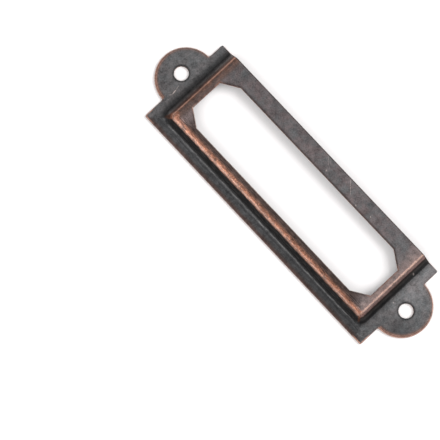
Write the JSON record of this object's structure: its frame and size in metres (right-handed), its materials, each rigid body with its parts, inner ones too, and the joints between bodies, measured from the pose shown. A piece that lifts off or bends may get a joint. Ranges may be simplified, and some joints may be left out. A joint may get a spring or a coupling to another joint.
{
  "type": "drawer label holder",
  "caption": "Pressed steel frame that screws to a drawer front and holds a label card behind its window, open along one long edge.",
  "frame": {"origin": "on the back plane of the flange, under the middle of the flanged body", "axes": "+X along the length, from ear to ear; +Y across, towards the open edge where the card goes in; +Z out of the drawer front"},
  "size_m": [0.083, 0.0234, 0.003],
  "materials": {
    "antique_copper": "Copper plated steel, darkened to a mottled grey brown and relieved to bright copper along its bends and edges."
  },
  "bodies": {
    "root": {"label_holder": "antique_copper"}
  },
  "joints": []
}
